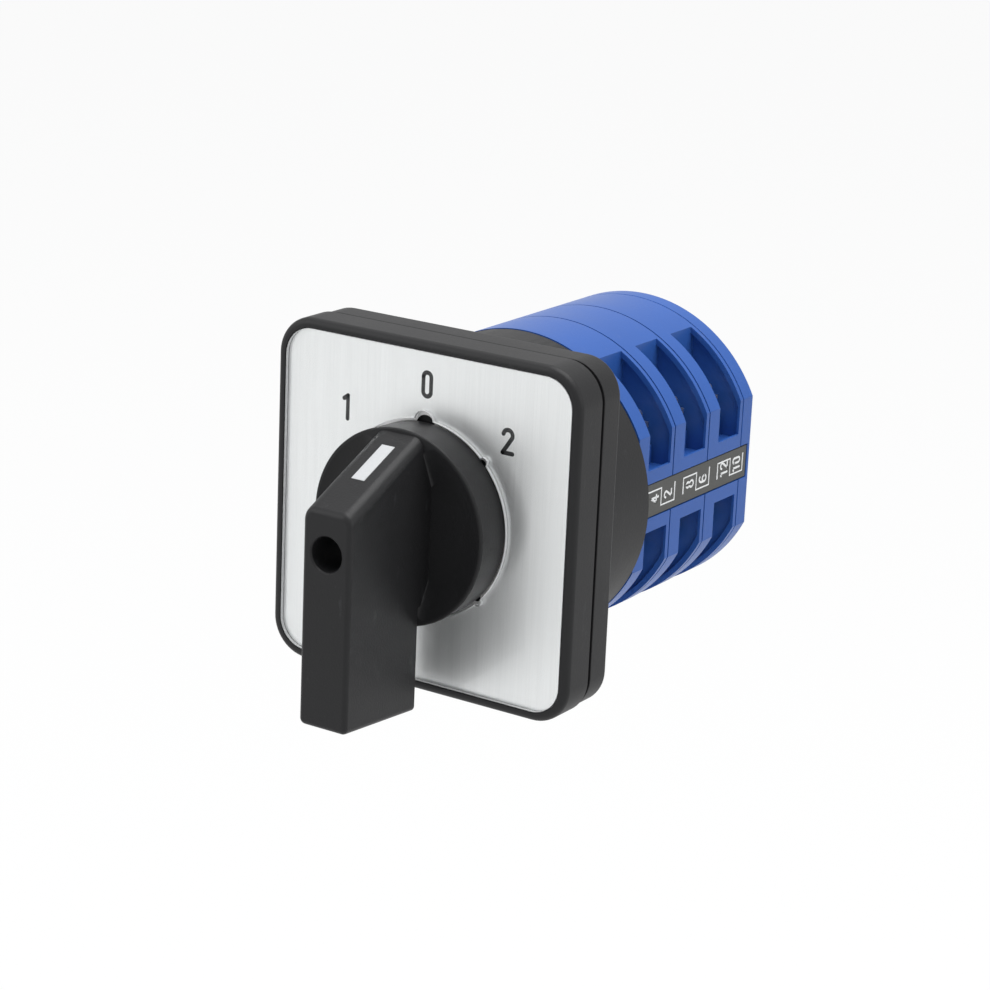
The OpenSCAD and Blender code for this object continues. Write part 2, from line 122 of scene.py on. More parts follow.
class SwitchSizes(bpy.types.PropertyGroup):
    edge: bpy.props.FloatProperty(
        name="Edge rounding", description="Radius of the handle's and the stages' fine edges",
        default=0.22 * MM, unit="LENGTH")
    plate_corner: bpy.props.FloatProperty(
        name="Plate corner", description="Corner radius of the front plate",
        default=7.2 * MM, unit="LENGTH")
    border: bpy.props.FloatProperty(
        name="Dial border", description="Width of the black border around the dial",
        default=1.75 * MM, unit="LENGTH")
    bar_width: bpy.props.FloatProperty(
        name="Bar width", description="Width of the grip bar",
        default=10 * MM, unit="LENGTH")
    skirt_out: bpy.props.FloatProperty(
        name="Skirt front", description="Distance from the panel to the skirt's front edge",
        default=14.5 * MM, unit="LENGTH")
    digit_height: bpy.props.FloatProperty(
        name="Digit height", description="Height of the dial's digits",
        default=4.3 * MM, unit="LENGTH")
    rib: bpy.props.FloatProperty(
        name="Window rib", description="Length of the rib in front of each window",
        default=4 * MM, unit="LENGTH")
    lip: bpy.props.FloatProperty(
        name="Window lip", description="Length of the lip behind each window",
        default=1 * MM, unit="LENGTH")


class SwitchColours(bpy.types.PropertyGroup):
    black: bpy.props.FloatVectorProperty(
        name="Black moulding", description="Front plate and head",
        subtype="COLOR", size=3, default=(0.016, 0.016, 0.017))
    handle: bpy.props.FloatVectorProperty(
        name="Handle", description="Handle moulding",
        subtype="COLOR", size=3, default=(0.018, 0.018, 0.019))
    blue: bpy.props.FloatVectorProperty(
        name="Blue moulding", description="Contact stages and back plate",
        subtype="COLOR", size=3, default=(0.03, 0.105, 0.385))
    dial: bpy.props.FloatVectorProperty(
        name="Dial", description="Brushed dial plate",
        subtype="COLOR", size=3, default=(0.98, 0.98, 0.98))
    ink: bpy.props.FloatVectorProperty(
        name="Dial ink", description="Digits on the dial",
        subtype="COLOR", size=3, default=(0.012, 0.012, 0.013))
    paint: bpy.props.FloatVectorProperty(
        name="White paint", description="Pointer and terminal numbers",
        subtype="COLOR", size=3, default=(0.85, 0.86, 0.86))


def sizes():
    return bpy.context.scene.switch_sizes


def colours():
    return bpy.context.scene.switch_colours


# ---- Shader maths as expressions ----

class Wire:
    """An output socket of a material, usable in Python expressions on numbers."""

    def __init__(self, paint, socket):
        self.paint = paint
        self.socket = socket

    def math(self, operation, first, second):
        return self.paint.node("ShaderNodeMath", {"operation": operation}, {0: first, 1: second})

    def __add__(self, other):
        return self.math("ADD", self, other)

    def __sub__(self, other):
        return self.math("SUBTRACT", self, other)

    def __mul__(self, other):
        return self.math("MULTIPLY", self, other)

    __radd__ = __add__


class Paint:
    """One material under construction."""

    def __init__(self, name):
        self.material = bpy.data.materials.new(name)
        self.material.use_nodes = True
        self.tree = self.material.node_tree
        self.tree.nodes.clear()
        self.output = self.tree.nodes.new("ShaderNodeOutputMaterial")

    def node(self, kind, settings=None, inputs=None, output=0):
        made = self.tree.nodes.new(kind)
        for key, value in (settings or {}).items():
            setattr(made, key, value)
        for key, value in (inputs or {}).items():
            if isinstance(value, Wire):
                self.tree.links.new(value.socket, made.inputs[key])
            else:
                made.inputs[key].default_value = value
        return Wire(self, made.outputs[output])

    def noise(self, scale, detail=2, stretch=(1, 1, 1), roughness=0.5):
        """Noise in object coordinates, scaled along the three axes."""
        coordinates = self.node("ShaderNodeTexCoord", output="Object")
        place = self.node("ShaderNodeMapping", inputs={"Vector": coordinates, "Scale": stretch})
        return self.node("ShaderNodeTexNoise", inputs={
            "Vector": place, "Scale": scale, "Detail": detail, "Roughness": roughness})

    def mix(self, factor, first, second):
        return self.node("ShaderNodeMix", {"data_type": "RGBA"},
                         {"Factor": factor, 6: first, 7: second}, output=2)

    def ramp(self, factor, low, high):
        """Maps a factor onto 0 to 1 between two places."""
        return self.node("ShaderNodeMapRange", {"clamp": True}, {
            "Value": factor, "From Min": low, "From Max": high, "To Min": 0.0, "To Max": 1.0})

    def bump(self, height, strength, distance):
        return self.node("ShaderNodeBump", inputs={
            "Height": height, "Strength": strength, "Distance": distance})

    def surface(self, **inputs):
        named = {key.replace("_", " "): value for key, value in inputs.items()}
        shader = self.node("ShaderNodeBsdfPrincipled", inputs=named)
        self.finish(shader)
        return self.material

    def finish(self, shader):
        self.tree.links.new(shader.socket, self.output.inputs["Surface"])


def rgba(colour, gain=1.0):
    return (colour[0] * gain, colour[1] * gain, colour[2] * gain, 1.0)


def moulding(name, colour, roughness, grain, shine):
    """Injection-moulded plastic: fine spark-eroded grain, faint flow clouds and handling marks."""
    paint = Paint(name)
    grains = paint.noise(2600, 3)
    clouds = paint.noise(70, 4)
    scuffs = paint.ramp(paint.noise(420, 6, (1, 1, 0.25), 0.7), 0.62, 0.74)
    shade = paint.mix(clouds, rgba(colour, 0.9), rgba(colour, 1.1))
    worn = paint.mix(scuffs * 0.05, shade, rgba((0.35, 0.36, 0.38)))
    gloss = roughness + (clouds - 0.5) * 0.12 + (grains - 0.5) * 0.1
    return paint.surface(
        Base_Color=worn, Roughness=gloss, IOR=1.5, Specular_IOR_Level=shine,
        Normal=paint.bump(grains, grain, 0.00006))


def brushed_dial(name, colour):
    """Aluminium foil brushed from top to bottom."""
    paint = Paint(name)
    fine = paint.noise(5200, 3, (1, 1, 0.012))
    broad = paint.noise(900, 3, (1, 1, 0.02))
    lines = fine * 0.65 + broad * 0.35
    shade = paint.mix(paint.ramp(lines, 0.3, 0.7), rgba(colour, 0.92), rgba(colour, 1.0))
    return paint.surface(
        Base_Color=shade, Metallic=0.86, Roughness=0.3 + lines * 0.14,
        Normal=paint.bump(lines, 0.3, 0.00002))


def rolled_metal(name, colour, roughness):
    """Plated or rolled metal with soft mottling and fine drawing lines."""
    paint = Paint(name)
    mottle = paint.noise(900, 4)
    lines = paint.noise(4200, 2, (0.06, 1, 1))
    shade = paint.mix(mottle, rgba(colour, 0.82), rgba(colour, 1.08))
    return paint.surface(
        Base_Color=shade, Metallic=1.0, Roughness=roughness + (mottle - 0.5) * 0.22,
        Normal=paint.bump(lines, 0.12, 0.00002))


def clear_plastic(name, tint):
    """Clear cover: see-through with a thin reflection."""
    paint = Paint(name)
    see_through = paint.node("ShaderNodeBsdfTransparent", inputs={"Color": rgba(tint)})
    ripples = paint.noise(60, 2)
    shine = paint.node("ShaderNodeBsdfPrincipled", inputs={
        "Base Color": (1, 1, 1, 1), "Metallic": 1.0, "Roughness": 0.04,
        "Normal": paint.bump(ripples, 0.05, 0.0002)})
    edge_on = paint.node("ShaderNodeFresnel", inputs={"IOR": 1.33})
    blend = paint.node("ShaderNodeMixShader", inputs={0: edge_on * 0.4, 1: see_through, 2: shine})
    paint.finish(blend)
    return paint.material


def cut_edge(name, colour):
    """Cut edge of clear plastic, painted near-white and nearly opaque: partly the frost of a
    machined edge, partly a painted highlight for the light the edge catches.
    """
    paint = Paint(name)
    haze = paint.noise(1500, 3)
    return paint.surface(
        Base_Color=paint.mix(haze, rgba(colour, 0.8), rgba(colour)), Roughness=0.25 + haze * 0.2,
        IOR=1.49, Alpha=0.82 + haze * 0.15)


def printed(name, colour, roughness):
    """Screen-printed ink with a slightly uneven film."""
    paint = Paint(name)
    film = paint.noise(1800, 4)
    shade = paint.mix(film, rgba(colour, 0.9), rgba(colour, 1.05))
    return paint.surface(Base_Color=shade, Roughness=roughness + (film - 0.5) * 0.2,
                         Normal=paint.bump(film, 0.15, 0.00002))


def nylon(name, colour):
    """Natural nylon, slightly milky."""
    paint = Paint(name)
    clouds = paint.noise(160, 4)
    grains = paint.noise(2200, 2)
    shade = paint.mix(clouds, rgba(colour, 0.9), rgba(colour, 1.04))
    return paint.surface(Base_Color=shade, Roughness=0.4 + clouds * 0.15, IOR=1.53,
                         Normal=paint.bump(grains, 0.2, 0.00004))


# Maker, material's name, colour or the setting that holds it, and the maker's other values
FINISHES = {
    "black": (moulding, "black_moulding", "black", 0.46, 0.45, 0.25),
    "handle": (moulding, "handle_moulding", "handle", 0.4, 0.5, 0.22),
    "blue": (moulding, "blue_moulding", "blue", 0.34, 0.2, 0.22),
    "dial": (brushed_dial, "brushed_dial", "dial"),
    "dial_rim": (rolled_metal, "dial_rim", (0.95, 0.95, 0.95), 0.15),
    "clear": (clear_plastic, "clear_cover", (0.985, 0.99, 0.99)),
    # The cover's cut edge: near-white, partly frost and partly a painted highlight for the light
    # it catches
    "edge_frost_and_highlight": (cut_edge, "cover_edge", (0.98, 0.985, 0.99)),
    "ink": (printed, "dial_ink", "ink", 0.42),
    "paint": (printed, "white_paint", "paint", 0.5),
    # The pointer's white paint is darkened to grey as painted shade, toning down the strong
    # overhead light on the slope
    "pointer": (printed, "pointer_paint", (0.56, 0.57, 0.58), 0.5),
    "strip": (printed, "strip_film", (0.045, 0.046, 0.042), 0.4),
    "zinc": (rolled_metal, "zinc_plate", (0.66, 0.67, 0.69), 0.32),
    "steel": (rolled_metal, "spring_steel", (0.5, 0.5, 0.52), 0.28),
    "brass": (rolled_metal, "rolled_brass", (0.78, 0.58, 0.26), 0.3),
    "silver": (rolled_metal, "silver_tip", (0.85, 0.84, 0.82), 0.35),
    "nylon": (nylon, "natural_nylon", (0.74, 0.71, 0.62)),
    "grey": (nylon, "grey_nylon", (0.14, 0.14, 0.15)),
}
MADE = {}


def finish_of(key):
    """The material of a finish, made once."""
    if key not in MADE:
        maker, name, colour, *rest = FINISHES[key]
        tint = getattr(colours(), colour) if isinstance(colour, str) else colour
        MADE[key] = maker(name, tint, *rest)
    return MADE[key]


# ---- Modelling helpers ----

def deselect():
    bpy.ops.object.select_all(action="DESELECT")


def activate(piece):
    deselect()
    piece.select_set(True)
    bpy.context.view_layer.objects.active = piece


def settle(piece):
    """Moves a piece's place, turn and scale into its mesh."""
    activate(piece)
    bpy.ops.object.transform_apply(location=True, rotation=True, scale=True)
    return piece


def named(name):
    piece = bpy.context.view_layer.objects.active
    piece.name = name
    piece.data.name = name
    return piece


def block(name, low, high):
    low, high = Vector(low), Vector(high)
    deselect()
    bpy.ops.mesh.primitive_cube_add(size=1, location=(low + high) / 2)
    piece = named(name)
    piece.scale = high - low
    return settle(piece)


def turned(name, radius, cone, length, segments, place, turn):
    """A cylinder, or a frustum that ends with the radius cone."""
    deselect()
    shared = {"vertices": segments, "depth": length, "location": place, "rotation": turn}
    if cone is None:
        bpy.ops.mesh.primitive_cylinder_add(radius=radius, **shared)
    else:
        bpy.ops.mesh.primitive_cone_add(radius1=radius, radius2=cone, **shared)
    return settle(named(name))


def drum(name, radius, start, end, segments=96, centre=(0, 0), cone=None):
    """A cylinder or frustum along Y from start to end."""
    place = (centre[0], (start + end) / 2, centre[1])
    return turned(name, radius, cone, end - start, segments, place, (-QUARTER, 0, 0))


def post(name, radius, foot, height, segments=48, cone=None):
    """An upright cylinder or frustum that stands on foot."""
    place = (foot[0], foot[1], foot[2] + height / 2)
    return turned(name, radius, cone, height, segments, place, (0, 0, 0))


def combine(piece, others, operation):
    for other in others:
        activate(piece)
        modifier = piece.modifiers.new("combine", "BOOLEAN")
        modifier.operation = operation
        modifier.solver = "EXACT"
        modifier.object = other
        bpy.ops.object.modifier_apply(modifier=modifier.name)
        bpy.data.objects.remove(other)
    return piece


def cut(piece, *cutters):
    return combine(piece, cutters, "DIFFERENCE")


def fuse(piece, *others):
    return combine(piece, others, "UNION")


def keep_inside(piece, *others):
    return combine(piece, others, "INTERSECT")


def edit(piece, kind, test, action):
    """Selects the vertices, edges or faces that pass a test in edit mode and runs an action."""
    activate(piece)
    bpy.ops.object.mode_set(mode="EDIT")
    bpy.ops.mesh.select_mode(type=kind)
    bpy.ops.mesh.select_all(action="DESELECT")
    mesh = bmesh.from_edit_mesh(piece.data)
    group = {"VERT": mesh.verts, "EDGE": mesh.edges, "FACE": mesh.faces}[kind]
    for item in group:
        if test(item):
            item.select_set(True)
    mesh.select_flush_mode()
    bmesh.update_edit_mesh(piece.data)
    action()
    bpy.ops.object.mode_set(mode="OBJECT")
    return piece


def middle(edge):
    return (edge.verts[0].co + edge.verts[1].co) / 2


def along(edge, axis):
    """Whether an edge runs along an axis."""
    step = edge.verts[1].co - edge.verts[0].co
    return abs(step[axis]) > 0.98 * step.length


def round_edges(piece, test, radius, segments=8):
    return edit(piece, "EDGE", test, lambda: bpy.ops.mesh.bevel(
        offset=radius, segments=segments, profile=0.5, affect="EDGES"))


def soften(piece, width, segments=2, angle=32):
    """Rounds what sharp edges are left, and shades the round stretches smooth."""
    activate(piece)
    modifier = piece.modifiers.new("rounding", "BEVEL")
    modifier.width = width
    modifier.segments = segments
    modifier.limit_method = "ANGLE"
    modifier.angle_limit = math.radians(angle)
    modifier.harden_normals = False
    bpy.ops.object.modifier_apply(modifier=modifier.name)
    return smooth(piece)


def smooth(piece, angle=40):
    """Shades round stretches smooth and keeps flat faces flat."""
    activate(piece)
    bpy.ops.mesh.customdata_custom_splitnormals_clear()
    bpy.ops.object.shade_smooth_by_angle(angle=math.radians(angle))
    modifier = piece.modifiers.new("flat_faces", "WEIGHTED_NORMAL")
    modifier.keep_sharp = True
    modifier.weight = 90
    bpy.ops.object.modifier_apply(modifier=modifier.name)
    return piece


def flatten(piece):
    """Shades every face flat, for sheets whose faces are large and level."""
    activate(piece)
    bpy.ops.mesh.customdata_custom_splitnormals_clear()
    bpy.ops.object.shade_flat()
    return piece


def tidy(piece):
    """Merges doubles and turns all faces outwards."""
    def merge_and_turn():
        bpy.ops.mesh.remove_doubles(threshold=1e-6)
        bpy.ops.mesh.select_all(action="SELECT")
        bpy.ops.mesh.normals_make_consistent(inside=False)

    return edit(piece, "FACE", lambda face: True, merge_and_turn)


def stage_start(stage):
    """Y of a stage's front face."""
    return STAGE_LOW.y + (stage - 1) * STAGE_LEN


def copy_of(piece, name, move=(0, 0, 0), mirror_axis=None):
    """A copy with its own mesh, moved or mirrored through the origin's planes."""
    twin = piece.copy()
    twin.data = piece.data.copy()
    twin.name = name
    twin.data.name = name
    bpy.context.scene.collection.objects.link(twin)
    if mirror_axis is not None:
        twin.data.transform(Matrix.Scale(-1, 4, Vector([int(k == mirror_axis) for k in range(3)])))
        twin.data.flip_normals()
    twin.data.transform(Matrix.Translation(move))
    return twin


def copies_along(first, name):
    """The first stage's piece and its copies at the stages behind it."""
    return [first] + [copy_of(first, f"{name}_{stage}", (0, (stage - 1) * STAGE_LEN, 0))
                      for stage in STAGES[1:]]


def merged(name, pieces):
    """Joins loose pieces into one object."""
    activate(pieces[0])
    for piece in pieces[1:]:
        piece.select_set(True)
    if len(pieces) > 1:
        bpy.ops.object.join()
    return named(name)


def wear(piece, finish):
    piece.data.materials.clear()
    piece.data.materials.append(finish_of(finish))


def finished(piece, finish, body, slot, *nodes):
    """Gives a piece its material and body, and hides the frame nodes it stands for; slot is not
    used.
    """
    wear(piece, finish)
    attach(piece, body)
    if nodes:
        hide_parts(*nodes)
    return piece


def faces_like(piece, finish, test):
    """Gives the faces that pass a test a second material."""
    piece.data.materials.append(finish_of(finish))
    index = len(piece.data.materials) - 1
    for face in piece.data.polygons:
        if test(face):
            face.material_index = index


def screw_ways(radius, start, end, segments):
    """Cutters or bosses at the front plate's four screws."""
    return [drum("screw_way", radius, start, end, segments,
                 (SCREW_HALF_PITCH * x, SCREW_HALF_PITCH * z)) for x, z in quadrants()]


def rounded_plate(name, half, corner, front, back, segments=12):
    piece = block(name, (-half, front, -half), (half, back, half))
    return round_edges(piece, lambda edge: along(edge, 1), corner, segments)


def prism(name, outline, start, end, far=None):
    """Extrudes an outline of (x, z) points along Y, to another outline with as many points."""
    deselect()
    bpy.ops.mesh.primitive_circle_add(vertices=len(outline), fill_type="NGON")
    piece = named(name)
    for vertex, (x, z) in zip(piece.data.vertices, outline):
        vertex.co = (x, start, z)
    edit(piece, "FACE", lambda face: True, lambda: bpy.ops.mesh.extrude_region_move(
        TRANSFORM_OT_translate={"value": (0, end - start, 0)}))
    for vertex in piece.data.vertices:
        if far and abs(vertex.co.y - end) < 1e-6:
            nearest = min(range(len(outline)), key=lambda k: math.hypot(
                outline[k][0] - vertex.co.x, outline[k][1] - vertex.co.z))
            vertex.co.x, vertex.co.z = far[nearest]
    return tidy(piece)


def on_plane(y):
    """Tests whether an edge lies in a plane across Y."""
    return lambda edge: all(abs(vertex.co.y - y) < 1e-6 for vertex in edge.verts)


def quadrants():
    return [(x, z) for x in (-1, 1) for z in (-1, 1)]


def cross_recess(place, axis, radius, depth, width=0.8 * MM):
    """Cutters of a cross recess, centred on a screw head's face. Axis is 1 for Y or 2 for Z."""
    cutters = []
    for turn in (math.pi / 4, -math.pi / 4):
        low = Vector((-radius, -width / 2, -depth))
        high = Vector((radius, width / 2, depth))
        blade = block("blade", low, high)
        blade.rotation_euler = (0, 0, turn)
        settle(blade)
        if axis == 1:
            blade.rotation_euler = (QUARTER, 0, 0)
            settle(blade)
        blade.location = place
        cutters.append(settle(blade))
    return cutters


# ---- Strokes for digits and lines ----

DIGIT_PITCH = 0.62


def arc(x, y, rx, ry, start, end, steps=14):
    """Points of an elliptical arc, with angles in degrees."""
    turns = [math.radians(start + (end - start) * k / steps) for k in range(steps + 1)]
    return [(x + rx * math.cos(a), y + ry * math.sin(a)) for a in turns]


# Each digit is a list of strokes in a cell one unit high and half a unit wide
DIGITS = {
    "0": [arc(0, 0.8, 0.19, 0.19, 180, 0) + arc(0, 0.19, 0.19, 0.19, 0, -180) + [(-0.19, 0.8)]],
    "1": [[(-0.13, 0.84), (0.06, 0.98)], [(0.06, 0.98), (0.06, 0)]],
    "2": [arc(0, 0.76, 0.22, 0.22, 170, -25) + [(-0.23, 0.02)], [(-0.23, 0.02), (0.24, 0.02)]],
    "3": [[(-0.21, 0.98), (0.2, 0.98)], [(0.2, 0.98), (-0.02, 0.6)],
          arc(-0.02, 0.3, 0.24, 0.29, 80, -150)],
    "4": [[(0.1, 0.98), (-0.24, 0.26)], [(-0.24, 0.26), (0.26, 0.26)], [(0.1, 0.98), (0.1, 0)]],
    "5": [[(0.2, 0.98), (-0.17, 0.98)], [(-0.17, 0.98), (-0.2, 0.56)],
          arc(-0.02, 0.31, 0.24, 0.3, 130, -150)],
    "6": [arc(0.03, 0.62, 0.26, 0.36, 55, 180) + [(-0.23, 0.28)],
          arc(0, 0.28, 0.23, 0.27, 0, 360, 24)],
    "7": [[(-0.23, 0.98), (0.23, 0.98)], [(0.23, 0.98), (-0.06, 0)]],
    "8": [arc(0, 0.27, 0.24, 0.27, 90, 450, 24), arc(0, 0.76, 0.2, 0.22, 90, 450, 24)],
    "9": [arc(-0.03, 0.38, 0.26, 0.36, -125, 0) + [(0.23, 0.72)],
          arc(0, 0.72, 0.23, 0.27, 0, 360, 24)],
}


def stroke(points, width, thickness, place):
    """A flat printed line along points, which place turns into positions on the surface."""
    data = bpy.data.curves.new("stroke", "CURVE")
    data.dimensions = "3D"
    data.bevel_depth = width / 2
    data.bevel_resolution = 3
    data.use_fill_caps = True
    spline = data.splines.new("POLY")
    spline.points.add(len(points) - 1)
    for point, (x, y) in zip(spline.points, points):
        point.co = (x, y, 0, 1)
    line = bpy.data.objects.new("stroke", data)
    bpy.context.scene.collection.objects.link(line)
    activate(line)
    bpy.ops.object.convert(target="MESH")
    line = bpy.context.view_layer.objects.active
    line.data.transform(Matrix.Diagonal((1, 1, thickness / width, 1)))
    caps = [post("cap", width / 2, (x, y, -thickness / 2), thickness, 16)
            for x, y in (points[0], points[-1])]
    line = merged("stroke", [line] + caps)
    line.data.transform(place)
    return line


def digit_strokes(text, height, width, thickness, place):
    """Strokes of a number, centred on the origin of place."""
    strokes = []
    for k, figure in enumerate(text):
        shift = (k - (len(text) - 1) / 2) * DIGIT_PITCH * height
        for path in DIGITS[figure]:
            points = [(x * height + shift, (y - 0.5) * height) for x, y in path]
            strokes.append(stroke(points, width, thickness, place))
    return strokes


def on_front(x, z, y):
    """Places a drawing upright on a face that looks at the user."""
    return Matrix.Translation((x, y, z)) @ Euler((QUARTER, 0, 0)).to_matrix().to_4x4()


def on_flank(side, y):
    """Places a drawing on a side strip, reading upwards; side is 1 for right, -1 for left."""
    turn = Matrix(((0, 0, side, 0), (0, -side, 0, 0), (1, 0, 0, 0), (0, 0, 0, 1)))
    return Matrix.Translation((side * PRINT_X, y, 0)) @ turn


# ---- Handle ----

def grip_bar():
    """The bar with its sloping top, its deep front face and its overhang below the skirt."""
    half = sizes().bar_width / 2
    top = 7.5 * MM
    skirt_front = -sizes().skirt_out
    skirt_top = SKIRT_R - 0.5 * MM
    floor = skirt_front + POCKET_DEPTH
    bottom = HANDLE_LOW.z
    bar = block("bar", (-half, BAR_FRONT, bottom), (half, floor + MM, skirt_top))
    slope = Vector((0, skirt_front - BAR_FRONT, skirt_top - top)).normalized()
    across = Vector((0, -slope.z, slope.y))
    edit(bar, "FACE", lambda face: True, lambda: bpy.ops.mesh.bisect(
        plane_co=(0, BAR_FRONT, top), plane_no=across, use_fill=True, clear_outer=True))
    heel = Vector((0, skirt_front - BAR_FRONT, -1.5 * MM)).normalized()
    under = Vector((0, heel.z, -heel.y))
    edit(bar, "FACE", lambda face: True, lambda: bpy.ops.mesh.bisect(
        plane_co=(0, BAR_FRONT, bottom + 1.5 * MM), plane_no=under, use_fill=True,
        clear_outer=True))
    cut(bar, block("heel", (-0.02, skirt_front, -0.05), (0.02, 0, -SKIRT_R + 4 * MM)))

    def slope_side(edge):
        step = (edge.verts[1].co - edge.verts[0].co).normalized()
        return abs(step.dot(slope)) > 0.99 and abs(middle(edge).x) > 0.9 * half

    def foot_side(edge):
        return abs(middle(edge).x) > 0.9 * half and middle(edge).z < bottom + MM

    round_edges(bar, slope_side, 2.1 * MM, 8)
    round_edges(bar, foot_side, 1.1 * MM, 6)
    round_edges(bar, on_plane(BAR_FRONT), 0.9 * MM, 5)
    return bar


def pocket_outline(side, edge, rim, upper, lower):
    """A D between the bar's side and the rim, with its two corners rounded."""
    high = math.sqrt((rim - upper) ** 2 - (edge + upper) ** 2)
    low = math.sqrt((rim - lower) ** 2 - (edge + lower) ** 2)
    top_turn = math.degrees(math.atan2(high, edge + upper))
    low_turn = math.degrees(math.atan2(low, edge + lower))
    points = arc(edge + upper, high, upper, upper, 180, top_turn, 10)
    points += arc(0, 0, rim, rim, top_turn, -low_turn, 72)[1:-1]
    points += arc(edge + lower, -low, lower, lower, -low_turn, -180, 10)
    return [(side * x, z) for x, z in points]


def skirt():
    """The round skirt with a D-shaped pocket on each side of the bar."""
    front, back = -sizes().skirt_out, HANDLE_HIGH.y
    rim = SKIRT_R + 0.35 * MM
    floor = front + POCKET_DEPTH
    root = sizes().bar_width / 2 - 0.3 * MM
    shell = drum("skirt", rim, front, back, 160, cone=SKIRT_R)
    round_edges(shell, on_plane(front), 0.35 * MM, 3)
    for side in (-1, 1):
        wide = pocket_outline(side, root, SKIRT_R - 0.3 * MM, 2.4 * MM, 1.6 * MM)
        narrow = pocket_outline(side, root, SKIRT_R - 5.5 * MM, 2.4 * MM, 1.6 * MM)
        pocket = prism("pocket", wide, front, floor, narrow)
        round_edges(pocket, lambda e: on_plane(floor)(e) and e.calc_length() > 10 * MM,
                    1.3 * MM, 6)
        mouth = prism("mouth", wide, front - MM, front + 0.01 * MM)
        cut(shell, fuse(pocket, mouth))
    return shell


class SWITCH_OT_handle(bpy.types.Operator):
    """Models the handle: round skirt, grip bar, screw hole and hollow back"""
    bl_idname = "switch.handle"
    bl_label = "Handle"

    def execute(self, context):
        back = HANDLE_HIGH.y
        handle = fuse(skirt(), grip_bar())
        hollow = drum("hollow", SKIRT_R - 1.9 * MM, -9.8 * MM, back + MM, 96)
        cut(hollow, drum("hub", 7.5 * MM, -0.03, 0.01, 64))
        socket = 3.05 * MM
        cut(handle, hollow,
            block("socket", (-socket, -20.05 * MM, -socket), (socket, 0, socket)),
            drum("screw_way", 1.7 * MM, -0.04, -19 * MM, 48),
            drum("screw_well", 3.15 * MM, -0.04, -24.4 * MM, 64),
            drum("well_rim", 3.6 * MM, BAR_FRONT - 0.2 * MM, BAR_FRONT + 0.35 * MM, 64,
                 cone=3.1 * MM))
        cut(handle, pointer_block("pointer_seat", 0, MM))
        tidy(handle)
        soften(handle, sizes().edge, 2, 38)
        finished(handle, "handle", "rotor", "handle_black", "handle")
        handle.name = "grip_handle"
        return {"FINISHED"}


# The bar's slope rises by one while it runs forward by the other, in millimetres
SLOPE_RISE = 9.5
SLOPE_RUN = 20.6


def pointer_block(name, shrink, proud):
    """The pointer's bar, lying in the slope and standing a little proud of it."""
    slope = math.atan2(SLOPE_RISE, SLOPE_RUN)
    length = 9.8 * MM
    width = POINTER_HIGH.x - POINTER_LOW.x
    piece = block(name, (-width / 2 + shrink, -length / 2 + shrink, -0.25 * MM),
                  (width / 2 - shrink, length / 2 - shrink, 0.25 * MM + proud))
    piece.rotation_euler = (slope, 0, 0)
    piece.location = (POINTER_LOW + POINTER_HIGH) / 2
    return settle(piece)


class SWITCH_OT_pointer(bpy.types.Operator):
    """Models the white pointer that lies in the handle's slope"""
    bl_idname = "switch.pointer"
    bl_label = "Pointer"

    def execute(self, context):
        pointer = pointer_block("pointer_bar", 0.03 * MM, 0.05 * MM)
        soften(pointer, 0.12 * MM)
        # The pointer wears the white paint darkened as painted shade
        finished(pointer, "pointer", "rotor", "pointer_white", "handle_pointer")
        return {"FINISHED"}


class SWITCH_OT_handle_screw(bpy.types.Operator):
    """Models the pan-head screw deep in the handle's bar"""
    bl_idname = "switch.handle_screw"
    bl_label = "Handle screw"

    def execute(self, context):
        low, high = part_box("handle_screw")
        head = drum("bar_screw", 2.8 * MM, low.y, low.y + 2.2 * MM, 64)
        round_edges(head, lambda e: abs(middle(e).y - low.y) < 1e-5, 0.9 * MM, 5)
        cut(head, *cross_recess((0, low.y, 0), 1, 1.8 * MM, 1.2 * MM))
        fuse(head, drum("shank", 1.5 * MM, low.y + 2 * MM, high.y, 48))
        soften(head, 0.08 * MM)
        finished(head, "zinc", "rotor", "zinc_steel", "handle_screw")
        return {"FINISHED"}


# ---- Front plate, dial and cover ----

class SWITCH_OT_front_plate(bpy.types.Operator):
    """Models the square front plate with its recess, bosses and hollow back"""
    bl_idname = "switch.front_plate"
    bl_label = "Front plate"

    def execute(self, context):
        size = sizes()
        front, back = PLATE_LOW.y, PLATE_HIGH.y
        groove = 0.5 * MM
        plate = rounded_plate("front_frame", PLATE_HALF, size.plate_corner, front,
                              back - groove, 14)
        round_edges(plate, on_plane(front), 1.3 * MM, 6)
        round_edges(plate, on_plane(back - groove), 0.15 * MM, 2)
        fuse(plate, rounded_plate("inner_edge", PLATE_HALF - 0.9 * MM,
                                  size.plate_corner - 0.9 * MM, back - MM, back, 14))
        recess = PLATE_HALF - size.border
        floor = DIAL_HIGH.y
        hollow = rounded_plate("hollow", PLATE_HALF - 2.5 * MM, size.plate_corner - 2.5 * MM,
                               floor + 2 * MM, back + MM, 8)
        cut(hollow, *screw_ways(4.25 * MM, 0.5 * floor - 0.01, 0.01, 48),
            drum("ring", 12 * MM, -0.02, 0.01, 64))
        cut(plate, rounded_plate("recess", recess, size.plate_corner - size.border,
                                 front - MM, floor, 12), hollow,
            drum("shaft_way", 10 * MM, -0.02, 0.01, 64),
            *screw_ways(2.45 * MM, -0.02, 0.01, 32))
        soften(plate, 0.15 * MM, 2, 40)
        finished(plate, "black", "housing", "moulded_black", "front_plate")
        return {"FINISHED"}


